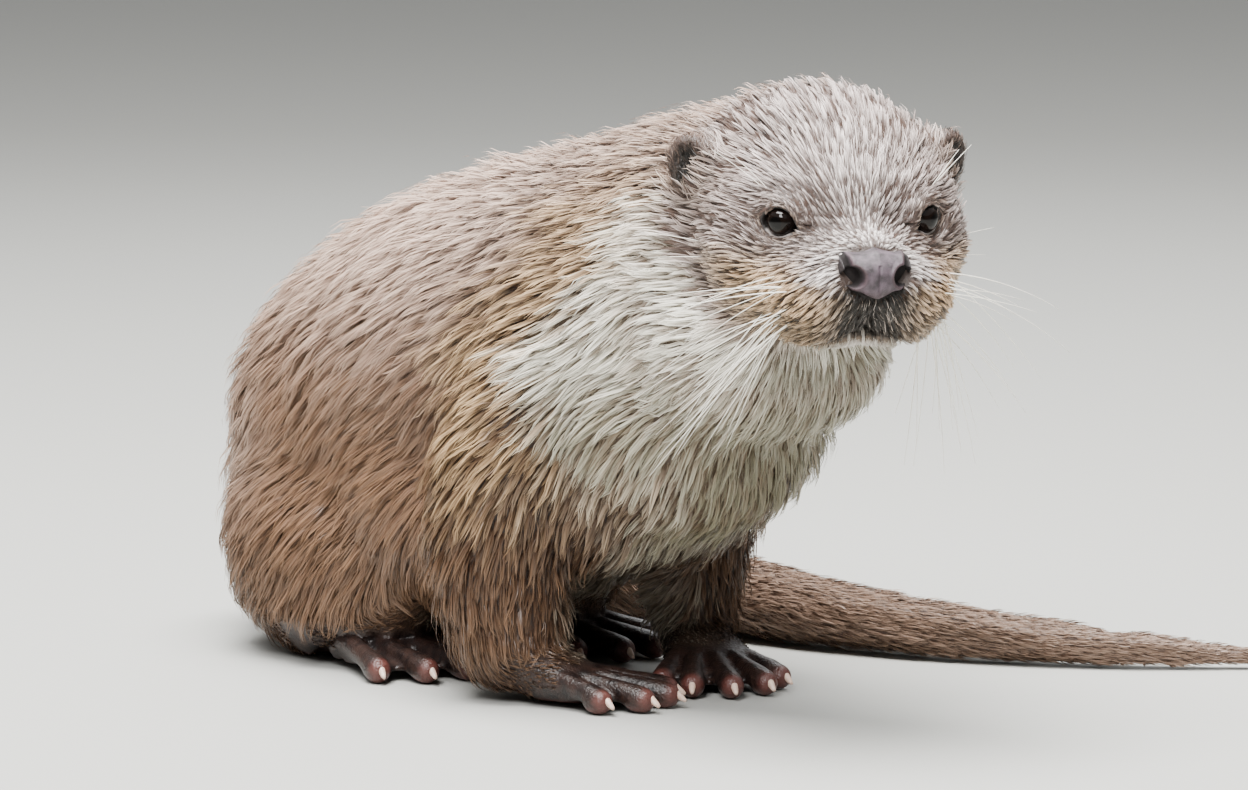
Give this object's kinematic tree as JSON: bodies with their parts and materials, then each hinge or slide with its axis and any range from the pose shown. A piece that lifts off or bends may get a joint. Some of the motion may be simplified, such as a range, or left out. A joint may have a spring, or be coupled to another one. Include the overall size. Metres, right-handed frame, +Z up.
{
  "type": "eurasian river otter",
  "caption": "Still, life-size river otter hunched on its four webbed feet, head turned to its right, wet brown coat with a cream throat, tail curled round its left side.",
  "frame": {"origin": "The middle of the bounding box on the floor plane that the otter rests on.", "axes": "+Z is up. The trunk lies along Y with the rump towards +Y; the animal faces -Y, turning its head to its right, which is -X. Its left side, with the tail, is +X."},
  "size_m": [0.3384, 0.471, 0.2541],
  "materials": {
    "brown_fur": "wet brown guard hair, clumped in pointed locks, satin sheen",
    "grey_fur": "short wet grey-brown hair of the head, streaked with paler locks",
    "cream_fur": "damp cream hair of throat and breast, slightly green-grey, matt",
    "bare_paw": "dark purple-brown bare skin, wet and satin",
    "nose_skin": "mauve-grey pebbled nose skin, moist",
    "eye": "black-brown, glossy and wet",
    "claw": "horn, pinkish cream, worn satin"
  },
  "bodies": {
    "root": {"chest": "brown_fur", "claw_forepaw_left_1": "claw", "claw_forepaw_left_2": "claw", "claw_forepaw_left_3": "claw", "claw_forepaw_left_4": "claw", "claw_forepaw_left_5": "claw", "claw_forepaw_right_1": "claw", "claw_forepaw_right_2": "claw", "claw_forepaw_right_3": "claw", "claw_forepaw_right_4": "claw", "claw_forepaw_right_5": "claw", "claw_hindfoot_left_1": "claw", "claw_hindfoot_left_2": "claw", "claw_hindfoot_left_3": "claw", "claw_hindfoot_left_4": "claw", "claw_hindfoot_left_5": "claw", "claw_hindfoot_right_1": "claw", "claw_hindfoot_right_2": "claw", "claw_hindfoot_right_3": "claw", "claw_hindfoot_right_4": "claw", "claw_hindfoot_right_5": "claw", "ear_left": "brown_fur", "ear_right": "brown_fur", "eye_left": "eye", "eye_right": "eye", "foreleg_left": "brown_fur", "foreleg_right": "brown_fur", "forepaw_left": "bare_paw", "forepaw_right": "bare_paw", "head": "grey_fur", "hindfoot_left": "bare_paw", "hindfoot_right": "bare_paw", "hindleg_left": "brown_fur", "hindleg_right": "brown_fur", "neck": "cream_fur", "nose_pad": "nose_skin", "rump": "brown_fur", "tail_1": "brown_fur", "tail_2": "brown_fur", "tail_3": "brown_fur", "tail_4": "brown_fur"}
  },
  "joints": []
}
